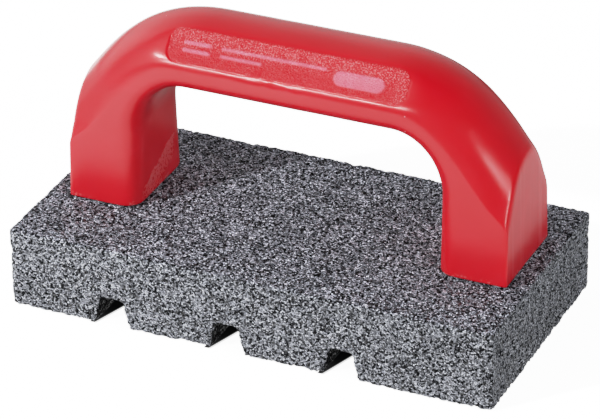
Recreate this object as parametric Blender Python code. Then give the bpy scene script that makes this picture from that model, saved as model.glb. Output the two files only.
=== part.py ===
"""Fluted abrasive rubbing brick with a moulded plastic handle.

Frame: origin at the centre of the brick's underside, +X along the brick's
length, -Y towards the side with the handle's recessed panel, +Z up.
The handle is one moulding. Two machine screws come up through the brick from
counterbores in its working face, the underside, and pull the handle's feet
down on to it.
"""

import math

import bmesh
import bpy
from mathutils import Matrix, Vector

MM = 0.001
GAP = 0.3 * MM                     # between any two pieces that touch

# ---------------------------------------------------------------- brick
BRICK_LENGTH = 152.4 * MM          # 6 in
BRICK_WIDTH = 76.2 * MM            # 3 in
BRICK_THICK = 25.4 * MM            # 1 in
BRICK_EDGE = 1.6 * MM              # worn rounding on every outer edge
FLUTE_X = (-43.5 * MM, -6.4 * MM, 29.6 * MM)
FLUTE_MOUTH = 10.8 * MM            # width at the working face
FLUTE_ROOF = 7.0 * MM              # width at the top of the flute
FLUTE_DEPTH = 9.0 * MM
FLUTE_CHAMFER = 0.9 * MM           # along each side of the roof
FLUTE_OVERRUN = 6.0 * MM           # of the cutter, below and past both sides

# ---------------------------------------------------------------- handle
HANDLE_X = 0.8 * MM                # middle of the handle along the brick
HANDLE_Y = 3.2 * MM                # middle of the handle across the brick
HANDLE_TOP = 86.0 * MM             # overall height of the object
FOOT_Z = BRICK_THICK + GAP         # underside of the feet
FOOT_OUT = 69.7 * MM               # half length over the feet, at the brick
FOOT_IN = 47.6 * MM                # half the clear opening
FOOT_WIDTH = 33.8 * MM             # across the brick, at the foot
GRIP_WIDTH = 29.8 * MM             # across the brick, at the grip
GRIP_UNDER = 66.9 * MM             # underside of the grip
INNER_EDGE = 4.0 * MM              # rounding of the edges that fingers touch
END_TAPER = 0.35 * MM              # how far each end face leans in by END_TOP
END_TOP = 61.4 * MM                # height where the end face meets the arch
END_CUT_HALF_WIDTH = 30.0 * MM     # of the cutter that shapes the end faces
END_CUT_BELOW = 5.0 * MM           # its overrun below the feet
END_CUT_ABOVE = 10.0 * MM          # and above the grip

# Outline of the arch: a straight run below END_TOP, a Bezier curve, a flat top.
ARCH_LEAN = math.radians(39.4)     # between the straight run and the vertical
ARCH_RUN = 70.0 * MM               # length of the straight run
ARCH_RUN_STEPS = 4
ARCH_FLAT_X = 27.3 * MM            # from here in, the top is straight
ARCH_PULL_LOW = 15.0 * MM          # lengths of the curve's two control arms
ARCH_PULL_HIGH = 24.1 * MM
ARCH_CURVE_STEPS = 40

# Upper corners of the opening: quarter ellipses.
CORNER_X = 15.2 * MM
CORNER_Z = 17.1 * MM
CORNER_STEPS = 11
CORNER_MID_X = FOOT_IN - CORNER_X
SPRING_Z = GRIP_UNDER - CORNER_Z   # springing of the arch

# Height of the handle's rounded back.
CROWN_START_Z = 44.0 * MM
CROWN_LEG = 11.1 * MM              # up to CROWN_START_Z
CROWN_SPRING = 12.6 * MM           # at the springing of the arch
CROWN_SHOULDER = 11.9 * MM         # half way round the shoulder
CROWN_GRIP = 9.8 * MM              # over the grip
CROWN_SPREAD = 1.01                # a little over 1 leaves a soft edge
CROWN_EDGE_LEG = 0.45              # roundness on the legs; 0 is a sharp edge
CROWN_EDGE_GAIN = 1.8              # roundness gained round the shoulder, up to 1
CROWN_STEPS = 12
INNER_EDGE_STEPS = 4

PANEL_LENGTH = 75.0 * MM
PANEL_HEIGHT = 11.2 * MM
PANEL_CORNER = 3.6 * MM
PANEL_CORNER_STEPS = 6
PANEL_TILT = math.radians(40.0)    # the panel's normal, above the horizon
PANEL_MIDDLE = (0.4 * MM, -8.5 * MM, 80.7 * MM)
PANEL_SINK = 0.35 * MM             # floor of the recess, inwards from PANEL_MIDDLE
PANEL_CUT_DEPTH = 8.0 * MM

# ---------------------------------------------------------------- fixings
FIX_X = 60.0 * MM
SIDES = (("left", -FIX_X), ("right", FIX_X))
CBORE_DIA = 15.6 * MM
CBORE_DEPTH = 17.0 * MM            # screw head stays clear as the brick wears
SCREW_HOLE_DIA = 7.6 * MM
HOLE_OVERRUN = 5.0 * MM            # of the cutter, past both brick faces

WASHER_DIA = 14.3 * MM             # 9/16 in
WASHER_HOLE = 7.1 * MM
WASHER_THICK = 1.5 * MM
WASHER_CHAMFER = 0.2 * MM
WASHER_TOP = CBORE_DEPTH - GAP

LOCK_DIA = 11.9 * MM
LOCK_HOLE = 7.0 * MM
LOCK_THICK = 1.5 * MM              # over both of its offset ends
LOCK_RISE = 0.3 * MM               # from one end of the bar to the other
LOCK_CHAMFER = 0.12 * MM
LOCK_SPLIT_DEG = 9.0
LOCK_SPLIT_AT_DEG = 200.0          # where the split lies, round from +X
LOCK_STEPS = 32
LOCK_TOP = WASHER_TOP - WASHER_THICK - GAP

SCREW_DIA = 6.35 * MM              # 1/4 in
SCREW_LENGTH = 28.6 * MM           # 1 1/8 in under the head
SCREW_TIP_LENGTH = 1.0 * MM        # chamfer at the shank's end
SCREW_TIP_INSET = 0.9 * MM
SCREW_NECK = 0.3 * MM              # chamfer between head and shank
SCREW_HEAD_DIA = 12.0 * MM
SCREW_HEAD_H = 4.0 * MM
SCREW_HEAD_ROUND = 1.9 * MM        # radius of the head's lower edge
SCREW_HEAD_STEPS = 4
SCREW_HEAD_CHAMFER = 0.25 * MM     # at the head's seat
SCREW_SEAT = LOCK_TOP - LOCK_THICK - GAP

DRIVE_WIDTH = 1.5 * MM             # arm of the cross recess
DRIVE_SPAN = 6.6 * MM
DRIVE_DEPTH = 2.2 * MM
DRIVE_END_TAPER = 1.4 * MM         # each arm's end leans in by its floor
DRIVE_SIDE_TAPER = 0.2 * MM        # each arm's side leans in by its floor
DRIVE_OVERRUN = 2.0 * MM           # of the cutter, below the head
DRIVE_TURN_DEG = 20.0

INSERT_DIA = 9.4 * MM
INSERT_LENGTH = 14.0 * MM
INSERT_BORE = SCREW_DIA + 2 * GAP
INSERT_MOUTH = 0.4 * MM            # chamfer at the bottom of the bore
INSERT_KNURL = 0.35 * MM           # depth of the knurl grooves
INSERT_LEAD_INSET = 0.05 * MM      # plain bands, below the knurl grooves
INSERT_RIDGES = 20
# Height above the insert's lower end, and whether it is knurled there.
INSERT_LEVELS = (
    (0.0, False), (1.0 * MM, False),
    (1.3 * MM, True), (6.0 * MM, True),
    (6.3 * MM, False), (7.7 * MM, False),
    (8.0 * MM, True), (INSERT_LENGTH - 1.3 * MM, True),
    (INSERT_LENGTH - 1.0 * MM, False), (INSERT_LENGTH, False),
)

SOCKET_DIA = INSERT_DIA + 2 * GAP
SOCKET_DEPTH = 17.6 * MM           # above the foot's face, with a conical end
SOCKET_CONE_H = 1.6 * MM
SOCKET_CONE_TIP = 0.35             # radius at the cone's top, as a share
SOCKET_OVERRUN = 4.0 * MM          # of the cutter, below the foot


# ================================================================ helpers
def clear_scene():
    for obj in list(bpy.data.objects):
        bpy.data.objects.remove(obj, do_unlink=True)


def material(name, colour, roughness, metallic=0.0):
    mat = bpy.data.materials.new(name)
    mat.use_nodes = True
    shader = mat.node_tree.nodes["Principled BSDF"]
    shader.inputs["Base Color"].default_value = (*colour, 1.0)
    shader.inputs["Roughness"].default_value = roughness
    shader.inputs["Metallic"].default_value = metallic
    mat.diffuse_color = (*colour, 1.0)
    return mat


def object_from(bm, name, parent, mat=None, location=(0, 0, 0)):
    bmesh.ops.recalc_face_normals(bm, faces=bm.faces)
    mesh = bpy.data.meshes.new(name)
    bm.to_mesh(mesh)
    bm.free()
    obj = bpy.data.objects.new(name, mesh)
    bpy.context.scene.collection.objects.link(obj)
    if mat is not None:
        mesh.materials.append(mat)
    obj.parent = parent
    obj.location = location
    return obj


def skin(name, rings, parent, mat=None, location=(0, 0, 0), closed=False):
    """Solid skinned over rings of equally many points. It is capped at both
    ends, or, if closed, the last ring joins the first."""
    bm = bmesh.new()
    loops = [[bm.verts.new(point) for point in ring] for ring in rings]
    pairs = list(zip(loops[:-1], loops[1:]))
    if closed:
        pairs.append((loops[-1], loops[0]))
    for first, second in pairs:
        for i in range(len(first)):
            j = (i + 1) % len(first)
            bm.faces.new((first[i], first[j], second[j], second[i]))
    if not closed:
        bm.faces.new(loops[0])
        bm.faces.new(loops[-1])
    return object_from(bm, name, parent, mat, location)


def level_ring(radii, z):
    """Points evenly spaced round the Z axis, each at its own radius."""
    step = 2 * math.pi / len(radii)
    return [
        (radius * math.cos(step * k), radius * math.sin(step * k), z)
        for k, radius in enumerate(radii)
    ]


def circles(profile, segments):
    """One circle round the Z axis for each (radius, z) of the profile."""
    return [level_ring([radius] * segments, z) for radius, z in profile]


def smooth(obj, degrees):
    obj.data.shade_smooth()
    obj.data.set_sharp_from_angle(angle=math.radians(degrees))


def cut(obj, cutter, operation="DIFFERENCE"):
    cutter.hide_render = True
    cutter.display_type = "WIRE"
    boolean = obj.modifiers.new(cutter.name, "BOOLEAN")
    boolean.operation = operation
    boolean.solver = "EXACT"
    boolean.object = cutter


# ================================================================ brick
def flute_cutter(number, x, parent):
    """Tapered bar with a chamfered roof, lying across the brick."""
    slope = (FLUTE_MOUTH - FLUTE_ROOF) / 2 / FLUTE_DEPTH
    low = FLUTE_MOUTH / 2 + slope * FLUTE_OVERRUN
    high = FLUTE_ROOF / 2
    # (half width, z), from the bottom up
    profile = (
        (low, -FLUTE_OVERRUN),
        (high + slope * FLUTE_CHAMFER, FLUTE_DEPTH - FLUTE_CHAMFER),
        (high - FLUTE_CHAMFER, FLUTE_DEPTH),
    )
    section = [(x + half, z) for half, z in profile]
    section += [(x - half, z) for half, z in reversed(profile)]
    end = BRICK_WIDTH / 2 + FLUTE_OVERRUN
    rings = [[(px, y, pz) for px, pz in section] for y in (-end, end)]
    return skin(f"flute_cutter_{number}", rings, parent)


def fixing_hole_cutter(side, x, parent):
    """Stepped bar: counterbore below the step, screw hole above it."""
    profile = [
        (CBORE_DIA / 2, -HOLE_OVERRUN),
        (CBORE_DIA / 2, CBORE_DEPTH),
        (SCREW_HOLE_DIA / 2, CBORE_DEPTH),
        (SCREW_HOLE_DIA / 2, BRICK_THICK + HOLE_OVERRUN),
    ]
    rings = circles(profile, segments=32)
    return skin(f"fixing_hole_cutter_{side}", rings, parent, location=(x, HANDLE_Y, 0))


def make_brick(mat, parent):
    bm = bmesh.new()
    bmesh.ops.create_cube(
        bm,
        size=1.0,
        matrix=Matrix.Translation((0, 0, BRICK_THICK / 2))
        @ Matrix.Diagonal((BRICK_LENGTH, BRICK_WIDTH, BRICK_THICK, 1.0)),
    )
    bmesh.ops.bevel(
        bm,
        geom=bm.edges[:],
        offset=BRICK_EDGE,
        offset_type="OFFSET",
        segments=3,
        profile=0.5,
        affect="EDGES",
    )
    brick = object_from(bm, "abrasive_brick", parent, mat)
    for number, x in enumerate(FLUTE_X, start=1):
        cut(brick, flute_cutter(number, x, parent))
    for side, x in SIDES:
        cut(brick, fixing_hole_cutter(side, x, parent))
    smooth(brick, degrees=25)


# ================================================================ handle
def arch_line():
    """Outline of the arch in the handle's middle plane, as (x, z): from
    beyond the end face, up and over to the middle."""
    start = Vector((FOOT_OUT - END_TAPER, END_TOP))
    down = Vector((math.sin(ARCH_LEAN), -math.cos(ARCH_LEAN)))
    points = [
        start + down * ARCH_RUN * (1 - k / ARCH_RUN_STEPS) for k in range(ARCH_RUN_STEPS)
    ]
    end = Vector((ARCH_FLAT_X, HANDLE_TOP))
    control_low = start - down * ARCH_PULL_LOW
    control_high = end + Vector((ARCH_PULL_HIGH, 0))
    for k in range(ARCH_CURVE_STEPS + 1):
        t = k / ARCH_CURVE_STEPS
        s = 1 - t
        points.append(
            start * s**3
            + control_low * (3 * s * s * t)
            + control_high * (3 * s * t * t)
            + end * t**3
        )
    points.append(Vector((0.0, HANDLE_TOP)))
    return [(point.x, point.y) for point in points]


def reach(line, inner_x, inner_z, out_x, out_z):
    """Distance from the inner point along the outward direction to the
    line's farthest crossing, and the cosine between that direction and the
    line's normal there."""
    farthest, cosine = 0.0, 1.0
    for (ax, az), (bx, bz) in zip(line[:-1], line[1:]):
        # Signed offsets of the segment's ends from the ray.
        offset_a = (ax - inner_x) * out_z - (az - inner_z) * out_x
        offset_b = (bx - inner_x) * out_z - (bz - inner_z) * out_x
        if offset_a * offset_b > 0 or offset_a == offset_b:
            continue
        share = offset_a / (offset_a - offset_b)
        run_x, run_z = bx - ax, bz - az
        distance = (ax + run_x * share - inner_x) * out_x
        distance += (az + run_z * share - inner_z) * out_z
        if distance > farthest:
            farthest = distance
            cosine = abs(run_x * out_z - run_z * out_x) / math.hypot(run_x, run_z)
    return farthest, max(cosine, 0.3)  # the limit keeps the crown's dip finite


def stations():
    """Section planes from the right foot to the middle of the grip, as
    (inner point x, z, outward direction x, z)."""
    leg_heights = [FOOT_Z, FOOT_Z + 9 * MM, CROWN_START_Z]
    leg_heights += [CROWN_START_Z + (SPRING_Z - CROWN_START_Z) * k / 3 for k in (1, 2)]
    planes = [(FOOT_IN, z, 1.0, 0.0) for z in leg_heights]
    for k in range(CORNER_STEPS + 1):
        angle = math.pi / 2 * k / CORNER_STEPS
        out_x, out_z = math.cos(angle), math.sin(angle)
        radius = 1 / math.hypot(out_x / CORNER_X, out_z / CORNER_Z)
        planes.append(
            (CORNER_MID_X + out_x * radius, SPRING_Z + out_z * radius, out_x, out_z)
        )
    planes += [(CORNER_MID_X * (1 - k / 2), GRIP_UNDER, 0.0, 1.0) for k in (1, 2)]
    return planes


def crown(z, turn):
    """Height of the rounded back, and how round it is: 0 is a parabola that
    meets the flat sides at an edge, 1 an ellipse that flows into them.
    turn is 0 on the legs and 1 on the grip."""
    if turn == 0:
        rise = (z - CROWN_START_Z) / (SPRING_Z - CROWN_START_Z)
        rise = min(max(rise, 0.0), 1.0)
        return CROWN_LEG + (CROWN_SPRING - CROWN_LEG) * rise, CROWN_EDGE_LEG
    # Quadratic through the three heights; control is its middle control value.
    control = 2 * CROWN_SHOULDER - (CROWN_SPRING + CROWN_GRIP) / 2
    height = (
        CROWN_SPRING * (1 - turn) ** 2
        + control * 2 * turn * (1 - turn)
        + CROWN_GRIP * turn**2
    )
    return height, min(1.0, CROWN_EDGE_LEG + CROWN_EDGE_GAIN * turn)


def handle_section(line, inner_x, inner_z, out_x, out_z):
    """Points of one section of the bar: flat sides, a crowned back, and
    rounded edges on the inner side."""
    rise = min(max((inner_z - FOOT_Z) / (GRIP_UNDER - FOOT_Z), 0.0), 1.0)
    half = (FOOT_WIDTH + (GRIP_WIDTH - FOOT_WIDTH) * rise) / 2
    outer, cosine = reach(line, inner_x, inner_z, out_x, out_z)
    height, roundness = crown(inner_z, math.atan2(out_z, out_x) / (math.pi / 2))
    ellipse_drop = 1 - math.sqrt(1 - 1 / CROWN_SPREAD**2)
    section = []  # (y, distance outwards)
    for k in range(CROWN_STEPS + 1):
        t = math.sin(math.pi / 2 * (1 - 2 * k / CROWN_STEPS))
        parabola = t * t
        ellipse = (1 - math.sqrt(1 - (t / CROWN_SPREAD) ** 2)) / ellipse_drop
        dip = height * (parabola + (ellipse - parabola) * roundness)
        section.append((half * t, outer - dip / cosine))
    for side in (-1, 1):
        for k in range(INNER_EDGE_STEPS + 1):
            share = k / INNER_EDGE_STEPS
            angle = math.pi / 2 * (1 - share if side < 0 else share)
            y = side * (half - INNER_EDGE + INNER_EDGE * math.sin(angle))
            section.append((y, INNER_EDGE - INNER_EDGE * math.cos(angle)))
    return [(inner_x + out_x * out, y, inner_z + out_z * out) for y, out in section]


def handle_body(mat, parent):
    line = arch_line()
    right = [handle_section(line, *plane) for plane in stations()]
    left = [[(-x, y, z) for x, y, z in section] for section in right[:-1]]
    bm = bmesh.new()
    loops = []
    for section in right + left[::-1]:
        verts = [bm.verts.new(point) for point in section]
        loops.append([bm.edges.new(pair) for pair in zip(verts, verts[1:] + verts[:1])])
    for first, second in zip(loops[:-1], loops[1:]):
        bmesh.ops.bridge_loops(bm, edges=first + second)
    for loop in (loops[0], loops[-1]):
        bmesh.ops.holes_fill(bm, edges=loop, sides=0)
    return object_from(bm, "handle", parent, mat, (HANDLE_X, HANDLE_Y, 0))


def end_planes_cutter(parent):
    """Tall wedge between the two end faces; the handle keeps what is inside."""
    low, high = FOOT_Z - END_CUT_BELOW, HANDLE_TOP + END_CUT_ABOVE
    lean = END_TAPER / (END_TOP - BRICK_THICK)
    bottom = FOOT_OUT - lean * (low - BRICK_THICK)
    top = FOOT_OUT - lean * (high - BRICK_THICK)
    outline = ((-bottom, low), (bottom, low), (top, high), (-top, high))
    rings = [
        [(x, y, z) for x, z in outline] for y in (-END_CUT_HALF_WIDTH, END_CUT_HALF_WIDTH)
    ]
    return skin("handle_end_planes", rings, parent, location=(HANDLE_X, HANDLE_Y, 0))


def panel_cutter(parent):
    """Plug with rounded corners, tilted to face the grip's -Y shoulder."""
    outline = []
    for quarter, (side_x, side_y) in enumerate(((1, 1), (-1, 1), (-1, -1), (1, -1))):
        mid_x = side_x * (PANEL_LENGTH / 2 - PANEL_CORNER)
        mid_y = side_y * (PANEL_HEIGHT / 2 - PANEL_CORNER)
        for k in range(PANEL_CORNER_STEPS + 1):
            angle = math.pi / 2 * (quarter + k / PANEL_CORNER_STEPS)
            outline.append(
                (
                    mid_x + PANEL_CORNER * math.cos(angle),
                    mid_y + PANEL_CORNER * math.sin(angle),
                )
            )
    rings = [[(x, y, z) for x, y in outline] for z in (0, PANEL_CUT_DEPTH)]
    normal = Vector((0, -math.cos(PANEL_TILT), math.sin(PANEL_TILT)))
    floor = Vector(PANEL_MIDDLE) - normal * PANEL_SINK
    plug = skin("handle_panel_cutter", rings, parent, location=floor)
    plug.rotation_euler = (math.pi / 2 - PANEL_TILT, 0, 0)
    return plug


def socket_cutter(side, x, parent):
    radius = SOCKET_DIA / 2
    profile = [
        (radius, FOOT_Z - SOCKET_OVERRUN),
        (radius, FOOT_Z + SOCKET_DEPTH - SOCKET_CONE_H),
        (radius * SOCKET_CONE_TIP, FOOT_Z + SOCKET_DEPTH),
    ]
    rings = circles(profile, segments=24)
    return skin(f"handle_socket_cutter_{side}", rings, parent, location=(x, HANDLE_Y, 0))


def make_handle(mat, parent):
    handle = handle_body(mat, parent)
    cut(handle, end_planes_cutter(parent), "INTERSECT")
    cut(handle, panel_cutter(parent))
    for side, x in SIDES:
        cut(handle, socket_cutter(side, x, parent))
    smooth(handle, degrees=24)


# ================================================================ fixings
def make_insert(side, x, mat, parent):
    """Brass insert: a knurled barrel with a plain groove at mid length, a
    plain lead at each end, and a bore through it."""
    ridge = INSERT_DIA / 2
    root = ridge - INSERT_KNURL
    segments = INSERT_RIDGES * 2
    knurled = [root, ridge] * INSERT_RIDGES
    plain = [root - INSERT_LEAD_INSET] * segments
    rings = [
        level_ring(knurled if is_knurled else plain, FOOT_Z + height)
        for height, is_knurled in INSERT_LEVELS
    ]
    bore = INSERT_BORE / 2
    bore_profile = [
        (bore, FOOT_Z + INSERT_LENGTH),
        (bore, FOOT_Z + INSERT_MOUTH),
        (bore + INSERT_MOUTH, FOOT_Z),
    ]
    rings += circles(bore_profile, segments)
    name = f"threaded_insert_{side}"
    insert = skin(name, rings, parent, mat, (x, HANDLE_Y, 0), closed=True)
    smooth(insert, degrees=30)


def washer_section(inner, outer, low, top, chamfer):
    """(radius, z) outline with its two outer corners chamfered."""
    return [
        (inner, low),
        (outer - chamfer, low),
        (outer, low + chamfer),
        (outer, top - chamfer),
        (outer - chamfer, top),
        (inner, top),
    ]


def make_flat_washer(side, x, mat, parent):
    section = washer_section(
        inner=WASHER_HOLE / 2,
        outer=WASHER_DIA / 2,
        low=WASHER_TOP - WASHER_THICK,
        top=WASHER_TOP,
        chamfer=WASHER_CHAMFER,
    )
    rings = circles(section, segments=36)
    name = f"flat_washer_{side}"
    washer = skin(name, rings, parent, mat, (x, HANDLE_Y, 0), closed=True)
    smooth(washer, degrees=30)


def make_lock_washer(side, x, mat, parent):
    """Split spring washer: a flat bar wound once, its ends cut apart and
    standing a little out of line with each other."""
    rings = []
    for k in range(LOCK_STEPS + 1):
        share = k / LOCK_STEPS
        turn = LOCK_SPLIT_DEG / 2 + (360 - LOCK_SPLIT_DEG) * share + LOCK_SPLIT_AT_DEG
        angle = math.radians(turn)
        low = LOCK_TOP - LOCK_THICK + LOCK_RISE * share
        section = washer_section(
            inner=LOCK_HOLE / 2,
            outer=LOCK_DIA / 2,
            low=low,
            top=low + LOCK_THICK - LOCK_RISE,
            chamfer=LOCK_CHAMFER,
        )
        rings.append(
            [(radius * math.cos(angle), radius * math.sin(angle), z) for radius, z in section]
        )
    washer = skin(f"lock_washer_{side}", rings, parent, mat, (x, HANDLE_Y, 0))
    smooth(washer, degrees=30)


def drive_cutter(name, x, turn_deg, head_low, parent):
    """One arm of the cross recess, narrowing upwards into the head."""
    half_span, half_width = DRIVE_SPAN / 2, DRIVE_WIDTH / 2
    overhang = DRIVE_END_TAPER / DRIVE_DEPTH * DRIVE_OVERRUN
    # (half length, half width, z)
    levels = (
        (half_span + overhang, half_width, head_low - DRIVE_OVERRUN),
        (half_span - DRIVE_END_TAPER, half_width - DRIVE_SIDE_TAPER, head_low + DRIVE_DEPTH),
    )
    rings = [
        [(-long, -wide, z), (long, -wide, z), (long, wide, z), (-long, wide, z)]
        for long, wide, z in levels
    ]
    arm = skin(name, rings, parent, location=(x, HANDLE_Y, 0))
    arm.rotation_euler = (0, 0, math.radians(turn_deg))
    return arm


def make_screw(side, x, mat, parent):
    """Pan-head machine screw, head down in the counterbore, with a cross
    recess. The shank is drawn at the thread's outside diameter."""
    head_low = SCREW_SEAT - SCREW_HEAD_H
    shank, head = SCREW_DIA / 2, SCREW_HEAD_DIA / 2
    tip = SCREW_SEAT + SCREW_LENGTH
    profile = []
    for k in range(SCREW_HEAD_STEPS + 1):
        angle = math.pi / 2 * k / SCREW_HEAD_STEPS
        profile.append(
            (
                head - SCREW_HEAD_ROUND * (1 - math.sin(angle)),
                head_low + SCREW_HEAD_ROUND * (1 - math.cos(angle)),
            )
        )
    profile += [
        (head, SCREW_SEAT - SCREW_HEAD_CHAMFER),
        (head - SCREW_HEAD_CHAMFER, SCREW_SEAT),
        (shank + SCREW_NECK, SCREW_SEAT),
        (shank, SCREW_SEAT + SCREW_NECK),
        (shank, tip - SCREW_TIP_LENGTH),
        (shank - SCREW_TIP_INSET, tip),
    ]
    name = f"clamp_screw_{side}"
    rings = circles(profile, segments=32)
    screw = skin(name, rings, parent, mat, (x, HANDLE_Y, 0))
    for i in range(2):
        arm_name = f"{name}_drive_cutter_{i + 1}"
        cut(screw, drive_cutter(arm_name, x, DRIVE_TURN_DEG + 90 * i, head_low, parent))
    smooth(screw, degrees=32)


# ================================================================ assembly
def build():
    clear_scene()
    root = bpy.data.objects.new("rubbing_brick_origin", None)
    bpy.context.scene.collection.objects.link(root)

    grit = material("silicon_carbide_grit", colour=(0.155, 0.158, 0.170), roughness=0.88)
    red = material("red_moulded_plastic", colour=(0.560, 0.010, 0.018), roughness=0.30)
    brass = material(
        "brass_insert", colour=(0.780, 0.570, 0.240), roughness=0.34, metallic=1.0
    )
    zinc = material(
        "zinc_plated_steel", colour=(0.620, 0.630, 0.640), roughness=0.36, metallic=1.0
    )
    spring = material(
        "spring_steel", colour=(0.330, 0.335, 0.345), roughness=0.45, metallic=1.0
    )

    make_brick(grit, root)
    make_handle(red, root)
    for side, x in SIDES:
        make_insert(side, x, brass, root)
        make_flat_washer(side, x, zinc, root)
        make_lock_washer(side, x, spring, root)
        make_screw(side, x, zinc, root)


build()
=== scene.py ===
"""Looks for a fluted rubbing brick with a moulded red handle.

The brick lies flat with its length along X and its fluted face down at z = 0.
The arched handle stands on its top, held by two screws from below. The front
faces -Y and left is -X. The brick is remeshed and its skin broken into crushed
grain, the handle is one swept skin with a sunk panel, and the fixings have
real threads and knurls.

Shapes are worked out in millimetres. Materials, light and camera use metres.
"""

import math

import bmesh
import bpy
import numpy as np
from mathutils import Matrix, Vector


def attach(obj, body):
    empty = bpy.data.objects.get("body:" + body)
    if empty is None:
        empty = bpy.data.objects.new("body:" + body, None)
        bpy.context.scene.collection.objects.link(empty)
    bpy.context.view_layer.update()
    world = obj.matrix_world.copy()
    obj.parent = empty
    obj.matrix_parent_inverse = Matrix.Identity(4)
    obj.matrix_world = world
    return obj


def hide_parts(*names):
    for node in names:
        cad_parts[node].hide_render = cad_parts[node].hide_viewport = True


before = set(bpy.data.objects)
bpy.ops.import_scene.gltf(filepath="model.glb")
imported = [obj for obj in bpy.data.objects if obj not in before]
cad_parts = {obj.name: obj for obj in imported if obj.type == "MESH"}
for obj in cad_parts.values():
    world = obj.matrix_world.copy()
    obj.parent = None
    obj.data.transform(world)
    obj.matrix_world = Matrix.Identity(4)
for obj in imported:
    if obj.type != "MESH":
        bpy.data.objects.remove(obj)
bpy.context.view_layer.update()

MM = 0.001

# The brick: rounded block, three tapered flutes, two stepped screw holes
BRICK_L, BRICK_W, BRICK_T = 152.4, 76.2, 25.4
HALF_L, HALF_W = BRICK_L / 2, BRICK_W / 2
EDGE_R = 0.9
FLUTE_X = (-43.5, -6.4, 29.6)
FLUTE_MOUTH, FLUTE_ROOF, FLUTE_DEPTH = 10.8, 7.0, 9.0
FIX_X = 60.0
CBORE_D, CBORE_DEPTH, HOLE_D = 15.6, 17.0, 7.6
CBORE_R = CBORE_D / 2
VOXEL = 0.66

# The handle: its middle, then x and y sizes from that middle, and heights z
GAP = 0.3
FOOT_Z = BRICK_T + GAP
MID_X, MID_Y = 0.8, 3.2
FOOT_OUT, FOOT_IN, FOOT_W, GRIP_W = 69.7, 47.6, 33.8, 29.8
END_TAPER, END_TOP, TOP, GRIP_UNDER = 0.35, 61.4, 86.0, 66.9
# the arch: quarter ellipse inside, Bezier curve outside
ARCH_IN_X, ARCH_IN_Z = 15.2, 17.1
SPRING_Z = GRIP_UNDER - ARCH_IN_Z
ARCH_LEAN = math.radians(39.4)
ARCH_FLAT_X, PULL_LOW, PULL_HIGH = 27.3, 15.0, 24.1
# how far the crowned outside drops from its middle to its edges
CROWN_LEG, CROWN_SPRING, CROWN_SHOULDER, CROWN_GRIP = 11.1, 12.6, 11.9, 9.8
CROWN_START_Z, CROWN_SPREAD, CROWN_EDGE_LEG = 44.0, 1.01, 0.45
INNER_EDGE = 4.0
SOCKET_R, SOCKET_DEPTH = 5.0, 17.6
# the sunk panel on the front of the grip
PANEL_L, PANEL_H, PANEL_R = 75.0, 10.8, 3.6
FACET, PANEL_SINK = -0.9, 0.32
PANEL_MID = np.array([0.4, -8.5, 80.7])
PANEL_TILT = math.radians(40.0)
PANEL_OUT = np.array([0.0, -math.cos(PANEL_TILT), math.sin(PANEL_TILT)])
PANEL_UP = np.array([0.0, math.sin(PANEL_TILT), math.cos(PANEL_TILT)])
# Raised marks on the panel: (middle along, middle up, length, height, corner)
RAISED = [
    (-28.6, 1.2, 8.6, 1.1, 0.5),
    (-28.6, -1.1, 8.6, 1.1, 0.5),
    (-4.5, 1.2, 33.0, 0.9, 0.44),
    (-14.4, -1.1, 13.2, 0.9, 0.44),
    (22.4, -0.6, 15.6, 4.4, 2.2),
]

# The fixings, from the counterbore's roof down: flat ring, split ring, screw head
WASHER_T = 1.5
FLAT_TOP = CBORE_DEPTH - GAP
SPLIT_LOW = FLAT_TOP - WASHER_T - GAP - WASHER_T
SEAT = SPLIT_LOW - GAP
SCREW_R, HEAD_R, HEAD_H, HEAD_DOME, SCREW_L = 3.175, 6.0, 4.0, 1.9, 28.6
PITCH = 1.27
INSERT_H, INSERT_R = 14.0, 4.30


# ============================================================ noise fields
def smoothstep(start, stop, value):
    share = np.clip((value - start) / (stop - start), 0.0, 1.0)
    return share * share * (3 - 2 * share)


def hash3(i, j, k, salt):
    """Repeatable numbers in 0..1 for whole-number lattice points."""
    with np.errstate(over="ignore"):
        bits = (
            i.astype(np.uint32) * np.uint32(374761393)
            + j.astype(np.uint32) * np.uint32(668265263)
            + k.astype(np.uint32) * np.uint32(2246822519)
            + np.uint32((salt * 3266489917 + 12345) & 0xFFFFFFFF)
        )
        bits ^= bits >> np.uint32(15)
        bits *= np.uint32(2246822519)
        bits ^= bits >> np.uint32(13)
        bits *= np.uint32(3266489917)
        bits ^= bits >> np.uint32(16)
    return bits.astype(np.float64) / 4294967295.0


def one_each(count, salt):
    """A repeatable number in 0..1 for each of count things."""
    index = np.arange(count)
    zero = np.zeros_like(index)
    return hash3(index, zero, zero, salt)


def value_noise(points, size, salt):
    """Smooth noise in -1..1 whose lumps are about size across."""
    cell = points / size
    base = np.floor(cell).astype(np.int64)
    blend = cell - base
    blend = blend * blend * blend * (blend * (blend * 6 - 15) + 10)
    total = np.zeros(len(points))
    for corner in np.ndindex(2, 2, 2):
        weight = np.where(corner, blend, 1 - blend)
        value = hash3(*(base + corner).T, salt)
        total += weight[:, 0] * weight[:, 1] * weight[:, 2] * value
    return total * 2 - 1


def grains(points, size, salt):
    """Nearest and second nearest seed of a jittered lattice: distance to each
    (in units of size), and two repeatable numbers for the nearest."""
    cell = points / size
    base = np.floor(cell).astype(np.int64)
    first = np.full(len(points), 9.0)
    second = np.full(len(points), 9.0)
    tone = np.zeros(len(points))
    lift = np.zeros(len(points))
    for step in np.ndindex(3, 3, 3):
        lattice = (base + step - 1).T
        seed = [lattice[n] + hash3(*lattice, salt + n) for n in range(3)]
        distance = np.sqrt(sum((cell[:, n] - seed[n]) ** 2 for n in range(3)))
        near = distance < first
        second = np.where(near, first, np.minimum(second, distance))
        tone = np.where(near, hash3(*lattice, salt + 3), tone)
        lift = np.where(near, hash3(*lattice, salt + 4), lift)
        first = np.where(near, distance, first)
    return first, second, tone, lift


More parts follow.
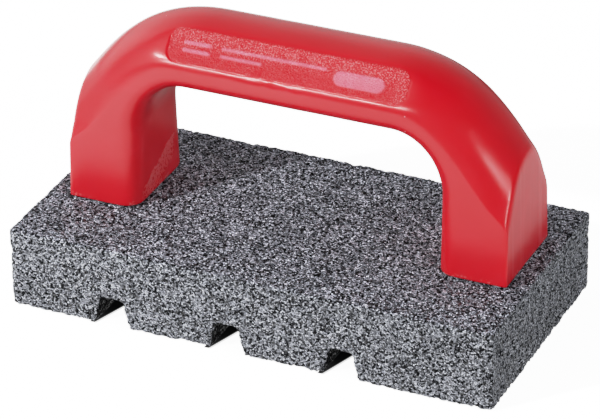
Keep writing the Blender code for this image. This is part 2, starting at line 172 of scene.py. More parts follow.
# ============================================================ object helpers
def new_object(name, mesh):
    obj = bpy.data.objects.new(name, mesh)
    bpy.context.scene.collection.objects.link(obj)
    return obj


def object_from(bm, name):
    """Turn a bmesh into an object, and free it."""
    mesh = bpy.data.meshes.new(name)
    bm.to_mesh(mesh)
    bm.free()
    return new_object(name, mesh)


def apply_modifiers(obj):
    graph = bpy.context.evaluated_depsgraph_get()
    graph.update()
    mesh = bpy.data.meshes.new_from_object(obj.evaluated_get(graph))
    old = obj.data
    obj.modifiers.clear()
    obj.data = mesh
    bpy.data.meshes.remove(old)


def cut_away(body, cutters):
    """Subtract the cutters from the body, then delete them."""
    for cutter in cutters:
        modifier = body.modifiers.new("cut", "BOOLEAN")
        modifier.operation = "DIFFERENCE"
        modifier.solver = "EXACT"
        modifier.object = cutter
    apply_modifiers(body)
    for cutter in cutters:
        mesh = cutter.data
        bpy.data.objects.remove(cutter)
        bpy.data.meshes.remove(mesh)


def store(mesh, name, domain, values):
    attribute = mesh.attributes.new(name, "FLOAT", domain)
    attribute.data.foreach_set("value", values.astype(np.float32))


def store_uv(mesh, uv):
    layer = mesh.uv_layers.new(name="OFBake")
    layer.data.foreach_set("uv", uv.reshape(-1).astype(np.float32))


def piece(obj, node, material):
    obj.data.materials.append(material)
    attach(obj, "root")
    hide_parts(node)


# ============================================================ node helpers
def grey(level):
    return (level, level, level, 1.0)


class Graph:
    """A short way to write shader nodes."""

    def __init__(self, owner):
        self.nodes = owner.node_tree.nodes
        self.links = owner.node_tree.links

    def find(self, kind):
        return next(node for node in self.nodes if node.type == kind)

    def add(self, kind, inputs=None, **settings):
        node = self.nodes.new("ShaderNode" + kind)
        for key, value in settings.items():
            setattr(node, key, value)
        self.fill(node, inputs or {})
        return node

    def fill(self, node, inputs):
        """Link or set each input, given by its name or number."""
        for key, value in inputs.items():
            if isinstance(value, bpy.types.Node):
                value = value.outputs[0]
            if isinstance(value, bpy.types.NodeSocket):
                self.links.new(value, node.inputs[key])
            else:
                node.inputs[key].default_value = value

    def math(self, operation, one, two=0.0, three=None):
        inputs = {0: one, 1: two}
        if three is not None:
            inputs[2] = three
        return self.add("Math", inputs, operation=operation).outputs[0]

    def plus(self, one, two):
        return self.math("ADD", one, two)

    def minus(self, one, two):
        return self.math("SUBTRACT", one, two)

    def times(self, one, two):
        return self.math("MULTIPLY", one, two)

    def fade(self, value, start, stop, low=0.0, high=1.0):
        """low up to start, high from stop on, straight between them."""
        return self.add(
            "MapRange", {0: value, 1: start, 2: stop, 3: low, 4: high}
        ).outputs[0]

    def ramp(self, value, stops):
        """Colour ramp from (position, grey level or RGB) stops."""
        node = self.add("ValToRGB", {"Fac": value})
        elements = node.color_ramp.elements
        while len(elements) > 1:
            elements.remove(elements[-1])
        for n, (position, colour) in enumerate(stops):
            element = elements[0] if n == 0 else elements.new(position)
            element.position = position
            if not hasattr(colour, "__len__"):
                colour = (colour, colour, colour)
            element.color = (*colour, 1.0)
        return node.outputs["Color"]

    def mix(self, share, one, two, blend="MIX"):
        node = self.add("Mix", data_type="RGBA", blend_type=blend)
        self.fill(node, {0: share, 6: one, 7: two})
        return node.outputs[2]

    def tint(self, one, two):
        """Two colours multiplied."""
        return self.mix(1.0, one, two, "MULTIPLY")

    def mix_shader(self, share, one, two):
        return self.add("MixShader", {0: share, 1: one, 2: two})

    def noise(self, where, scale, detail=2.0, rough=0.5, distortion=0.0):
        inputs = {
            "Vector": where,
            "Scale": scale,
            "Detail": detail,
            "Roughness": rough,
            "Distortion": distortion,
        }
        return self.add("TexNoise", inputs).outputs["Fac"]

    def voronoi(self, where, scale, feature="F1"):
        return self.add("TexVoronoi", {"Vector": where, "Scale": scale}, feature=feature)

    def stretch(self, where, scale, rotation=(0.0, 0.0, 0.0)):
        inputs = {"Vector": where, "Rotation": rotation, "Scale": scale}
        return self.add("Mapping", inputs).outputs[0]

    def axes(self, vector):
        """The x, y and z of a vector."""
        return list(self.add("SeparateXYZ", {0: vector}).outputs)

    def channel(self, colour, number):
        return self.add("SeparateColor", {0: colour}).outputs[number]

    def attribute(self, name):
        return self.add("Attribute", attribute_name=name).outputs["Fac"]

    def place(self):
        return self.add("TexCoord").outputs["Object"]

    def bump(self, height, strength, distance, normal=None):
        inputs = {"Height": height, "Strength": strength, "Distance": distance}
        if normal is not None:
            inputs["Normal"] = normal
        return self.add("Bump", inputs).outputs["Normal"]


def new_material(name):
    material = bpy.data.materials.new(name)
    material.use_nodes = True
    g = Graph(material)
    return material, g, g.nodes["Principled BSDF"]


# ============================================================ grit
def grit_material():
    """Crushed silicon carbide in a grey bond. Each grain has its own tone, the
    gaps between grains are dark, and a few clean crystal faces glint."""
    material, g, shader = new_material("grit")
    where = g.place()
    # Bend the grain pattern, so that its cells are not all straight-sided.
    wander = g.add("TexNoise", {"Vector": where, "Scale": 1400.0, "Detail": 2.0})
    offset = g.add(
        "VectorMath", {0: wander.outputs["Color"], 1: (0.5, 0.5, 0.5)}, operation="SUBTRACT"
    )
    offset = g.add("VectorMath", {0: offset, 3: 0.00035}, operation="SCALE")
    warped = g.add("VectorMath", {0: where, 1: offset}, operation="ADD").outputs[0]

    # Tone: mostly the coarse cells', some of the fine cells', a little per facet.
    facet = g.attribute("grain")
    coarse = g.voronoi(warped, scale=2000.0)
    fine = g.voronoi(warped, scale=3500.0)
    coarse_tone = g.channel(coarse.outputs["Color"], 0)
    fine_tone = g.channel(fine.outputs["Color"], 1)
    tone = g.plus(g.times(coarse_tone, 0.72), g.times(fine_tone, 0.20))
    tone = g.plus(tone, g.times(facet, 0.08))
    colour = g.ramp(
        tone,
        [
            (0.30, (0.004, 0.004, 0.005)),
            (0.38, (0.070, 0.072, 0.081)),
            (0.50, (0.235, 0.243, 0.270)),
            (0.66, (0.374, 0.386, 0.426)),
            (0.90, (0.700, 0.718, 0.782)),
        ],
    )
    crack = g.voronoi(warped, scale=2000.0, feature="DISTANCE_TO_EDGE")
    colour = g.tint(colour, g.ramp(crack.outputs["Distance"], [(0.01, 0.06), (0.13, 1.0)]))
    cloud = g.noise(where, scale=55.0, detail=3.0)
    colour = g.tint(colour, g.ramp(cloud, [(0.3, 0.92), (0.7, 1.08)]))

    # Painted light: the top shows its grain brighter and with more contrast than the sides, for
    # how the light falls on it.
    facing = g.axes(g.add("NewGeometry").outputs["True Normal"])
    painted_top_tone = g.add("Gamma", {"Color": colour, "Gamma": 1.5}).outputs[0]
    painted_top_tone = g.tint(painted_top_tone, grey(1.64))
    colour = g.mix(g.ramp(facing[2], [(0.35, 0.0), (0.75, 1.0)]), colour, painted_top_tone)
    # Painted shade: faces turned to the right are darker.
    colour = g.tint(colour, g.ramp(facing[0], [(0.3, 1.0), (0.8, 0.74)]))
    # Painted shade: the front is a little darker towards the right. The brick's length is 0..1.
    along = g.plus(g.times(g.axes(where)[0], 6.56), 0.5)
    painted_shade_right = g.tint(colour, g.ramp(along, [(0.25, 1.0), (0.75, 0.88)]))
    frontal = g.ramp(g.times(facing[1], -1.0), [(0.3, 0.0), (0.8, 1.0)])
    colour = g.mix(frontal, colour, painted_shade_right)
    # Painted shade in the flutes, with a broken border.
    deep = g.attribute("deep")
    border = g.times(g.minus(g.noise(where, scale=900.0), 0.5), 0.22)
    flute_shading = g.ramp(
        g.plus(deep, border), [(0.08, 1.0), (0.45, 0.50), (0.62, 0.32), (0.97, 0.045)]
    )
    colour = g.tint(colour, flute_shading)

    glint = g.ramp(g.channel(coarse.outputs["Color"], 2), [(0.80, 0.0), (0.84, 1.0)])
    shine = g.mix(glint, grey(0.10), grey(0.55))
    shine = g.tint(shine, g.ramp(deep, [(0.1, 1.0), (0.9, 0.12)]))

    height = g.plus(
        g.times(fine.outputs["Distance"], -0.6),
        g.times(g.noise(where, scale=5200.0), 0.25),
    )
    height = g.plus(height, g.times(coarse_tone, 0.5))
    g.fill(
        shader,
        {
            "Base Color": colour,
            "Roughness": g.mix(glint, grey(0.82), grey(0.30)),
            "IOR": 1.6,
            "Specular IOR Level": shine,
            "Normal": g.bump(height, strength=0.7, distance=0.0003),
        },
    )
    return material


# ============================================================ red plastic
def foot_dust(g, where, z):
    """Patchy dust caught round the bottom of the feet."""
    low = g.fade(z, 0.0258, 0.0276, low=1.0, high=0.0)
    dust = g.ramp(g.noise(where, scale=1100.0, detail=3.0, rough=0.6), [(0.52, 0.0), (0.60, 1.0)])
    dust = g.times(dust, g.times(low, 0.30))
    patches = g.ramp(g.noise(where, scale=190.0), [(0.46, 0.0), (0.60, 1.0)])
    return g.times(dust, patches)


def specks(g, where):
    """A few pale dots, one in every fourteen or so cells."""
    dots = g.voronoi(where, scale=260.0)
    near = g.math("LESS_THAN", dots.outputs["Distance"], 0.055)
    some = g.math("GREATER_THAN", g.channel(dots.outputs["Color"], 0), 0.93)
    return g.times(g.times(near, some), 0.55)


def leg_scuffs(g, where, side_x, y, z):
    """Whitish scuffs low on the legs' inner faces: a slanting rub mark, and
    fine marks fading out below it."""
    above = g.minus(z, g.math("MULTIPLY_ADD", y, 0.45, 0.0328))
    wander = g.times(g.minus(g.noise(where, scale=260.0, detail=3.0), 0.5), 0.0030)
    above = g.plus(above, wander)
    rub = g.fade(g.math("ABSOLUTE", above), 0.0001, 0.0010, low=1.0, high=0.0)
    under = g.fade(above, -0.0085, -0.0004, high=0.62)
    under = g.times(under, g.math("LESS_THAN", above, 0.0))
    scuff = g.math("MAXIMUM", g.times(rub, 0.9), under)
    hatch = g.noise(where, scale=1000.0, detail=3.0, rough=0.65)
    scuff = g.times(scuff, g.ramp(hatch, [(0.40, 0.10), (0.58, 1.0)]))
    start = g.fade(y, -0.0095, -0.0045)
    stop = g.fade(y, 0.0100, 0.0135, low=1.0, high=0.0)
    inner_face = g.times(
        g.math("LESS_THAN", side_x, 0.0487), g.math("LESS_THAN", z, 0.050)
    )
    inner_face = g.times(inner_face, g.times(start, stop))
    return g.times(scuff, inner_face)


def end_drags(g, where, side_x, facing_x):
    """Faint drag marks up the end faces."""
    drag = g.noise(g.stretch(where, (60.0, 420.0, 12.0)), scale=1.0, detail=4.0, rough=0.6)
    end = g.times(
        g.math("GREATER_THAN", side_x, 0.0655),
        g.math("GREATER_THAN", g.math("ABSOLUTE", facing_x), 0.93),
    )
    return g.times(g.ramp(drag, [(0.48, 0.0), (0.66, 1.0)]), end)


def red_material():
    """Glossy moulded plastic: deep red with faint flow marks, a little haze
    and handling scratches, and a fine matt grain on the sunk panel."""
    material, g, shader = new_material("red_plastic")
    where = g.place()
    panel = g.attribute("panel")
    pad = g.attribute("raised")

    flow = g.noise(
        g.stretch(where, (22.0, 95.0, 60.0)), scale=1.0, detail=5.0, rough=0.62, distortion=0.8
    )
    body = g.ramp(
        flow,
        [
            (0.30, (0.500, 0.0040, 0.0115)),
            (0.52, (0.520, 0.0050, 0.0135)),
            (0.72, (0.550, 0.0085, 0.0185)),
        ],
    )
    # Painted highlight: pale flecks on the panel's grain, most on its upper half and right end,
    # stand in for the light sparkling off it.
    painted_sparkle_mask = g.attribute("painted_sparkle_mask")
    painted_sparkle = g.ramp(g.noise(where, scale=2300.0, rough=0.6), [(0.50, 0.0), (0.62, 1.0)])
    painted_sparkle = g.times(painted_sparkle, g.times(painted_sparkle_mask, 0.60))
    x, y, z = g.axes(where)
    facing_x = g.axes(g.add("TexCoord").outputs["Normal"])[0]
    side_x = g.math("ABSOLUTE", x)
    scuff = leg_scuffs(g, where, side_x, y, z)
    drag = end_drags(g, where, side_x, facing_x)
    # Paler layers over the red, lowest first: (share, colour).
    for share, pale in (
        (painted_sparkle, (0.82, 0.30, 0.32, 1.0)),
        (g.times(pad, 0.42), (0.86, 0.34, 0.46, 1.0)),
        (foot_dust(g, where, z), (0.62, 0.52, 0.52, 1.0)),
        (specks(g, where), (0.80, 0.42, 0.44, 1.0)),
        (g.times(scuff, 0.33), (0.80, 0.45, 0.46, 1.0)),
        (g.times(drag, 0.16), (0.72, 0.22, 0.24, 1.0)),
    ):
        body = g.mix(share, body, pale)

    # Roughness: haze, drags, scratches and dulled feet, held below a limit;
    # then the panel's grain and the scuffs.
    haze = g.ramp(g.noise(where, scale=38.0, detail=5.0, rough=0.6), [(0.35, 0.17), (0.70, 0.25)])
    slanted = g.stretch(where, (60.0, 2200.0, 1500.0), rotation=(0.3, 0.2, 0.5))
    scratch = g.noise(slanted, scale=1.0, detail=3.0, rough=0.6)
    scratch = g.ramp(scratch, [(0.68, 0.0), (0.74, 0.12)])
    dulled = g.fade(z, 0.034, 0.052, low=0.09, high=0.0)
    rough = g.plus(haze, g.times(drag, 0.07))
    rough = g.plus(rough, g.plus(scratch, dulled))
    rough = g.math("MINIMUM", rough, 0.267)
    rough = g.plus(rough, g.times(panel, 0.06))
    rough = g.plus(rough, g.times(scuff, 0.06))

    # Relief: wide ripples, scattered pits, and stipple on the panel.
    normal = g.bump(g.noise(where, scale=130.0), strength=0.10, distance=0.0006)
    pit = g.ramp(g.noise(where, scale=900.0, rough=0.6), [(0.26, 0.0), (0.31, 1.0)])
    normal = g.bump(pit, strength=0.25, distance=0.00006, normal=normal)
    stipple = g.times(g.noise(where, scale=1900.0, rough=0.6), panel)
    normal = g.bump(stipple, strength=1.0, distance=0.00045, normal=normal)
    g.fill(
        shader,
        {
            "Base Color": body,
            "Roughness": rough,
            "IOR": 1.52,
            "Specular IOR Level": g.math("MULTIPLY_ADD", panel, -0.14, 0.5),
            "Subsurface Weight": 0.55,
            "Subsurface Radius": (1.0, 0.12, 0.12),
            "Subsurface Scale": 0.006,
            "Normal": normal,
        },
    )
    return material


# ============================================================ metals
def metal_material(name, base, dark, rough_low, rough_high, marks=0.25):
    """Metal with stains, dull patches and fine level marks round its axis.
    marks is how strongly those marks show."""
    material, g, shader = new_material(name)
    where = g.place()
    stain = g.noise(where, scale=420.0, detail=5.0, rough=0.6)
    colour = g.ramp(stain, [(0.30, dark), (0.55, base), (0.80, base)])
    speck = g.ramp(g.noise(where, scale=2600.0), [(0.64, 0.0), (0.72, 0.5)])
    colour = g.mix(speck, colour, (*[c * 0.45 for c in dark], 1.0))
    patches = g.noise(where, scale=700.0, detail=4.0)
    turning = g.noise(g.stretch(where, (300.0, 300.0, 9000.0)), scale=1.0)
    g.fill(
        shader,
        {
            "Base Color": colour,
            "Metallic": 1.0,
            "Roughness": g.ramp(patches, [(0.3, rough_low), (0.7, rough_high)]),
            "Normal": g.bump(turning, strength=marks, distance=0.00008),
        },
    )
    return material


# ============================================================ the brick
def flute_cutter(x):
    """Tapered bar along Y with chamfered upper corners, run past the brick."""
    over, soft = 6.0, 0.35
    start_y, run_length = -46, 92
    slope = (FLUTE_MOUTH - FLUTE_ROOF) / 2 / FLUTE_DEPTH
    low = FLUTE_MOUTH / 2 + slope * over
    high = FLUTE_ROOF / 2
    outline = [
        (-low, -over),
        (low, -over),
        (high + slope * soft, FLUTE_DEPTH - soft),
        (high - soft, FLUTE_DEPTH),
        (-high + soft, FLUTE_DEPTH),
        (-high - slope * soft, FLUTE_DEPTH - soft),
    ]
    bm = bmesh.new()
    face = bm.faces.new(
        [bm.verts.new(((x + across) * MM, start_y * MM, z * MM)) for across, z in outline]
    )
    run = bmesh.ops.extrude_face_region(bm, geom=[face])
    moved = [v for v in run["geom"] if isinstance(v, bmesh.types.BMVert)]
    bmesh.ops.translate(bm, verts=moved, vec=(0, run_length * MM, 0))
    bmesh.ops.recalc_face_normals(bm, faces=bm.faces)
    return object_from(bm, "cut")


def hole_cutter(x, radius, low, high):
    bm = bmesh.new()
    bmesh.ops.create_cone(
        bm,
        cap_ends=True,
        segments=64,
        radius1=radius * MM,
        radius2=radius * MM,
        depth=(high - low) * MM,
        matrix=Matrix.Translation((x * MM, MID_Y * MM, (low + high) / 2 * MM)),
    )
    return object_from(bm, "cut")


def brick_blank():
    """Clean block with rounded edges, flutes and stepped screw holes."""
    bm = bmesh.new()
    bmesh.ops.create_cube(
        bm,
        size=1.0,
        matrix=Matrix.Translation((0, 0, BRICK_T / 2 * MM))
        @ Matrix.Diagonal((BRICK_L * MM, BRICK_W * MM, BRICK_T * MM, 1.0)),
    )
    bmesh.ops.bevel(
        bm,
        geom=bm.edges[:],
        offset=EDGE_R * MM,
        offset_type="OFFSET",
        segments=3,
        profile=0.5,
        affect="EDGES",
    )
    block = object_from(bm, "rubbing_block")
    cutters = [flute_cutter(x) for x in FLUTE_X]
    for x in (-FIX_X, FIX_X):
        cutters.append(hole_cutter(x, CBORE_R, low=-5, high=CBORE_DEPTH))
        cutters.append(hole_cutter(x, HOLE_D / 2, low=10, high=32))
    cut_away(block, cutters)
    return block


def vertex_values(mesh, key):
    values = np.zeros(len(mesh.vertices) * 3)
    mesh.vertices.foreach_get(key, values)
    return values.reshape(-1, 3)


def grain_depth(rest, moved, normal):
    """How far each point sinks in from the nominal surface."""
    near, next_near, _, lift = grains(moved, size=1.25, salt=11)
    crack = 1 - smoothstep(0.0, 0.22, next_near - near)
    fine_lift = grains(moved, size=0.8, salt=31)[3]
    wide = value_noise(moved, 9.0, 5) * 0.04 + value_noise(moved, 3.0, 6) * 0.04
    rough = one_each(len(rest), 74)
    depth = (
        0.13
        + wide
        + (lift - 0.5) * 0.18
        + (fine_lift - 0.5) * 0.16
        + crack * 0.12
        + (rough - 0.5) * 0.30
        + np.where(lift > 0.95, 0.32, 0.0)  # a few grains have fallen out
    )
    # Edges are worn and chipped: the second nearest face is near there.
    side_x = HALF_L - np.abs(rest[:, 0])
    side_y = HALF_W - np.abs(rest[:, 1])
    side_z = np.minimum(rest[:, 2], BRICK_T - rest[:, 2])
    second = np.sort(np.stack([side_x, side_y, side_z], axis=1), axis=1)[:, 1]
    edge = 1 - smoothstep(0.3, 1.8, second)
    chip = smoothstep(0.35, 0.75, value_noise(moved, 3.4, 8)) * 0.36
    depth = np.clip(depth + edge * chip, 0.02, 1.3)
    # Calm inside the screw holes.
    hole = np.minimum(
        np.hypot(rest[:, 0] - FIX_X, rest[:, 1] - MID_Y),
        np.hypot(rest[:, 0] + FIX_X, rest[:, 1] - MID_Y),
    )
    inside = (hole < CBORE_R + 0.6) & (rest[:, 2] > 1.2) & (rest[:, 2] < 25.0)
    depth = np.where(inside, depth * 0.35, depth)
    # Round the sides the grain stands proud about as far as it sinks in.
    aside = np.maximum(
        smoothstep(0.3, 0.9, np.abs(normal[:, 0])) * (side_x < 1.3),
        smoothstep(0.3, 0.9, np.abs(normal[:, 1])) * (side_y < 1.3),
    )
    return depth - 0.30 * aside


def split_faces(mesh):
    """Triangles: each quad is split along one of its diagonals at random."""
    quads = np.array([list(p.vertices) for p in mesh.polygons if len(p.vertices) == 4])
    others = [list(p.vertices)[:3] for p in mesh.polygons if len(p.vertices) != 4]
    pick = one_each(len(quads), 75)[:, None] > 0.5
    first = np.where(pick, quads[:, [0, 1, 2]], quads[:, [0, 1, 3]])
    second = np.where(pick, quads[:, [0, 2, 3]], quads[:, [1, 2, 3]])
    triangles = np.concatenate([first, second])
    if others:
        triangles = np.concatenate([triangles, np.array(others)])
    return triangles


def painted_flute_shade(centre):
    """Painted shade in the flutes, most on their left walls and least on their right, except
    close to their ends and mouths."""
    deep = np.zeros(len(centre))
    into = HALF_W - np.abs(centre[:, 1])
    for flute_x in FLUTE_X:
        wall = (np.abs(centre[:, 0] - flute_x) < FLUTE_MOUTH / 2 + 0.2) & (
            centre[:, 2] < FLUTE_DEPTH + 0.6
        )
        shade = smoothstep(0.0, 0.45, into) * smoothstep(0.0, 0.6, centre[:, 2])
        roof = centre[:, 2] > FLUTE_DEPTH - 0.5
        shade *= np.where(roof, 0.60, np.where(centre[:, 0] < flute_x, 1.0, 0.45))
        deep = np.maximum(deep, np.where(wall, shade, 0.0))
    return deep


def make_block():
    block = brick_blank()
    remesh = block.modifiers.new("remesh", "REMESH")
    remesh.mode = "VOXEL"
    remesh.voxel_size = VOXEL * MM
    remesh.adaptivity = 0.0
    apply_modifiers(block)
    mesh = block.data
    rest = vertex_values(mesh, "co") / MM
    normal = vertex_values(mesh, "normal")
    triangles = split_faces(mesh)

    # Shift each point a little along the surface, so that no grid shows.
    shift = np.stack([one_each(len(rest), salt) - 0.5 for salt in (71, 72, 73)], axis=1)
    shift *= 0.9 * VOXEL
    shift -= normal * np.sum(shift * normal, axis=1, keepdims=True)
    moved = rest + shift
    final = moved - normal * grain_depth(rest, moved, normal)[:, None]

    fresh = bpy.data.meshes.new("rubbing_block")
    fresh.from_pydata((final * MM).tolist(), [], triangles.tolist())
    fresh.update()
    block.data = fresh
    bpy.data.meshes.remove(mesh)

    # One tone for each facet, partly shared over clusters of facets.
    centre = rest[triangles].mean(axis=1)
    cluster_tone = grains(centre, size=0.95, salt=51)[2]
    tone = np.clip(cluster_tone * 0.6 + one_each(len(triangles), 76) * 0.4, 0, 1)
    store(fresh, "grain", "FACE", tone)
    # painted shade on the flutes' walls and roofs
    store(fresh, "deep", "FACE", painted_flute_shade(centre))
    block_uv(fresh, rest, triangles)
    return block


def block_uv(mesh, rest, triangles):
    """Flat charts laid out side by side, one for each way the skin faces.
    Places are in millimetres on a square sheet."""
    sheet = 216.0
    corners = rest[triangles]
    a, b, c = corners[:, 0], corners[:, 1], corners[:, 2]
    normal = np.cross(b - a, c - a)
    normal /= np.maximum(np.linalg.norm(normal, axis=1, keepdims=True), 1e-12)
    middle = (a + b + c) / 3
    axis = np.argmax(np.abs(normal), axis=1)
    sign = np.sign(normal[np.arange(len(normal)), axis])
    uv = np.zeros((len(triangles), 3, 2))

    def put(mask, u, v, corner_u, corner_v):
        uv[mask, :, 0] = u[mask] + corner_u
        uv[mask, :, 1] = v[mask] + corner_v

    x, y, z = corners[:, :, 0], corners[:, :, 1], corners[:, :, 2]
    along, across = x + HALF_L, y + HALF_W
    # (axis, its sign, u, v, the chart's corner)
    for number, way, u, v, corner in (
        (2, 1, along, across, (1, 1)),
        (2, -1, along, across, (1, 79.5)),
        (1, -1, along, z, (1, 158)),
        (1, 1, along, z, (1, 185.5)),
        (0, 1, z, across, (156, 1)),
        (0, -1, z, across, (184, 1)),
    ):
        put((axis == number) & (sign == way), u, v, *corner)
    # The flutes' side walls, in strips.
    for i, flute_x in enumerate(FLUTE_X):
        for k, side in enumerate((-1, 1)):
            wall = (
                (axis == 0)
                & (np.abs(middle[:, 0] - flute_x) < 6.5)
                & (middle[:, 2] < 10.5)
                & (sign == -side)
            )
            put(wall, z, across, 156 + (2 * i + k) * 9.9, 79.5)
    # The screw holes' walls, unrolled: the counterbore, then the narrow hole.
    for i, hole_x in enumerate((-FIX_X, FIX_X)):
        radius = np.hypot(middle[:, 0] - hole_x, middle[:, 1] - MID_Y)
        wall = (radius < CBORE_R + 0.8) & (axis != 2) & (middle[:, 2] > 0.6)
        wide = middle[:, 2] < CBORE_DEPTH + 0.2
        angle = np.arctan2(y - MID_Y, x - hole_x)
        centre = np.arctan2(middle[:, 1] - MID_Y, middle[:, 0] - hole_x)[:, None]
        # keep a triangle's corners on the same turn
        angle = centre + (angle - centre + math.pi) % (2 * math.pi) - math.pi
        put(wall & wide, (angle + math.pi) * CBORE_R + 2, z, 156, 158 + i * 19)
        put(
            wall & ~wide,
            (angle + math.pi) * HOLE_D / 2 + 2,
            z - CBORE_DEPTH,
            156 + i * 27,
            197,
        )
    store_uv(mesh, np.clip(uv / sheet, 0, 1))


# ============================================================ the handle's sweep
def arch_line():
    """Outline of the arch in the middle plane, as (x, z) points from below
    an end face's top, up and over to just past the middle."""
    start = np.array([FOOT_OUT - END_TAPER, END_TOP])
    lean = np.array([math.sin(ARCH_LEAN), -math.cos(ARCH_LEAN)])
    points = [start + lean * 70 * (1 - k / 4) for k in range(4)]
    low_pull = start - lean * PULL_LOW
    finish = np.array([ARCH_FLAT_X, TOP])
    high_pull = finish + np.array([PULL_HIGH, 0])
    for t in np.linspace(0, 1, 161):
        left = 1 - t
        points.append(
            start * left**3
            + low_pull * (3 * left * left * t)
            + high_pull * (3 * left * t * t)
            + finish * t**3
        )
    points.append(np.array([-1.0, TOP]))
    return np.array(points)


def reach(line, from_x, from_z, way_x, way_z):
    """Distance to the line from a point along a direction, and the cosine of
    the angle at which it is met."""
    a, b = line[:-1], line[1:]
    cross_a = (a[:, 0] - from_x) * way_z - (a[:, 1] - from_z) * way_x
    cross_b = (b[:, 0] - from_x) * way_z - (b[:, 1] - from_z) * way_x
    crosses = (cross_a * cross_b <= 0) & (cross_a != cross_b)
    share = np.where(crosses, cross_a / np.where(crosses, cross_a - cross_b, 1), 0)
    hit = a + (b - a) * share[:, None]
    distance = (hit[:, 0] - from_x) * way_x + (hit[:, 1] - from_z) * way_z
    distance = np.where(crosses, distance, -1)
    i = int(np.argmax(distance))
    run = b[i] - a[i]
    cosine = abs(-run[1] * way_x + run[0] * way_z) / math.hypot(*run)
    return distance[i], max(cosine, 0.3)


def crown(from_z, turn):
    """The crown's drop and roundness. turn is 0 on the leg, 1 on the grip."""
    if turn == 0:
        rise = min(max((from_z - CROWN_START_Z) / (SPRING_Z - CROWN_START_Z), 0), 1)
        return CROWN_LEG + (CROWN_SPRING - CROWN_LEG) * rise, CROWN_EDGE_LEG
    middle = 2 * CROWN_SHOULDER - (CROWN_SPRING + CROWN_GRIP) / 2
    drop = (
        CROWN_SPRING * (1 - turn) ** 2
        + middle * 2 * turn * (1 - turn)
        + CROWN_GRIP * turn**2
    )
    return drop, min(1.0, CROWN_EDGE_LEG + 1.8 * turn)


def resample(points, marks):
    """Points at the given shares (0..1) of a polyline's length."""
    step = np.linalg.norm(np.diff(points, axis=0), axis=1)
    along = np.concatenate([[0], np.cumsum(step)])
    want = np.asarray(marks) * along[-1]
    return np.stack(
        [np.interp(want, along, points[:, k]) for k in range(points.shape[1])], axis=1
    )


def soft_min(one, two, blend):
    """The lesser of two values, with a rounded change-over."""
    share = np.clip(0.5 + 0.5 * (two - one) / blend, 0, 1)
    return two * (1 - share) + one * share - blend * share * (1 - share)


def graded(length, fine_length, fine, coarse):
    """Shares 0..1 along a run, fine at its start and coarse after that."""
    start = np.arange(0, fine_length, fine)
    count = max(int((length - fine_length) / coarse), 2)
    return np.concatenate([start, np.linspace(fine_length, length, count)]) / length


# The crown's points run from front to back, close together over the panel.
PANEL_FINE = 0.30
CROWN_MARKS = graded(length=39.0, fine_length=13.6, fine=PANEL_FINE, coarse=0.85)


def section(line, from_x, from_z, way_x, way_z):
    """One closed section of the bar as (y, outward) points: over the crown,
    down the back, along the inner face and up the front."""
    up = min(max((from_z - FOOT_Z) / (GRIP_UNDER - FOOT_Z), 0.0), 1.0)
    half = (FOOT_W + (GRIP_W - FOOT_W) * up) / 2
    outer, cosine = reach(line, from_x, from_z, way_x, way_z)
    drop, roundness = crown(from_z, math.atan2(way_z, way_x) / (math.pi / 2))
    # The crown lies between a parabola and part of an ellipse.
    edge = 1 - math.sqrt(1 - 1 / CROWN_SPREAD**2)
    across = np.sin(np.pi / 2 * np.linspace(-1, 1, 241))
    ellipse = (1 - np.sqrt(1 - (across / CROWN_SPREAD) ** 2)) / edge
    dip = drop * (across * across + (ellipse - across * across) * roundness)
    out = outer - dip / cosine
    # The leaning end face cuts the legs off.
    lean = END_TAPER / (END_TOP - BRICK_T)
    if way_x > 1e-6:
        end = (FOOT_OUT - lean * (from_z - BRICK_T) - from_x) / (way_x + lean * way_z)
        out = soft_min(out, end, 0.7 / max(way_x, 0.3))
    top = np.stack([half * across, out], axis=1)

    low = INNER_EDGE + 1.3 * (1 - way_z)
    flat = half - low
    quarter = np.linspace(0, math.pi / 2, 10)
    back_turn, front_turn = quarter[::-1][1:], quarter[1:]
    back = np.array([[half, top[-1, 1]], [half, low]])
    under = np.array([[flat, 0.0], [-flat, 0.0]])
    front = np.array([[-half, low], [-half, top[0, 1]]])
    return np.concatenate(
        [
            resample(top, CROWN_MARKS),
            resample(back, np.linspace(0, 1, 12))[1:],
            np.stack([flat + low * np.sin(back_turn), low - low * np.cos(back_turn)], axis=1),
            resample(under, np.linspace(0, 1, 26))[1:],
            np.stack([-flat - low * np.sin(front_turn), low - low * np.cos(front_turn)], axis=1),
            resample(front, np.linspace(0, 1, 14))[1:-1],
        ]
    )


def handle_stations():
    """Right half of the inner line, foot to middle: (x, z, outward x, z)."""
    centre_x = FOOT_IN - ARCH_IN_X
    found = [(FOOT_IN, z, 1.0, 0.0) for z in np.linspace(FOOT_Z, SPRING_Z, 31)[:-1]]
    angles = np.concatenate([np.linspace(0, 76, 64), np.linspace(76, 90, 21)[1:]])
    for angle in np.radians(angles):
        way_x, way_z = math.cos(angle), math.sin(angle)
        if way_z > 1 - 1e-9:
            way_x, way_z = 0.0, 1.0
        radius = 1 / math.hypot(way_x / ARCH_IN_X, way_z / ARCH_IN_Z)
        found.append((centre_x + way_x * radius, SPRING_Z + way_z * radius, way_x, way_z))
    for x in np.linspace(centre_x, 0, 73)[1:]:
        found.append((x, GRIP_UNDER, 0.0, 1.0))
    return found


def average(grid, axis):
    """Each point drawn halfway to its neighbours along a closed axis."""
    return grid * 0.5 + (np.roll(grid, 1, axis=axis) + np.roll(grid, -1, axis=axis)) * 0.25


def handle_grid():
    """The swept bar as rings of points, from the right foot to the left."""
    line = arch_line()
    right = []
    for from_x, from_z, way_x, way_z in handle_stations():
        y, out = section(line, from_x, from_z, way_x, way_z).T
        right.append(np.stack([from_x + way_x * out, y, from_z + way_z * out], axis=1))
    right = np.array(right)
    left = right[:-1][::-1].copy()
    left[:, :, 0] *= -1
    grid = np.concatenate([right, left])
    # Ease the corners round each ring, then from ring to ring.
    for _ in range(3):
        grid = average(grid, axis=1)
    for _ in range(2):
        grid[1:-1] = grid[1:-1] * 0.5 + (grid[:-2] + grid[2:]) * 0.25
    return grid + np.array([MID_X, MID_Y, 0.0])


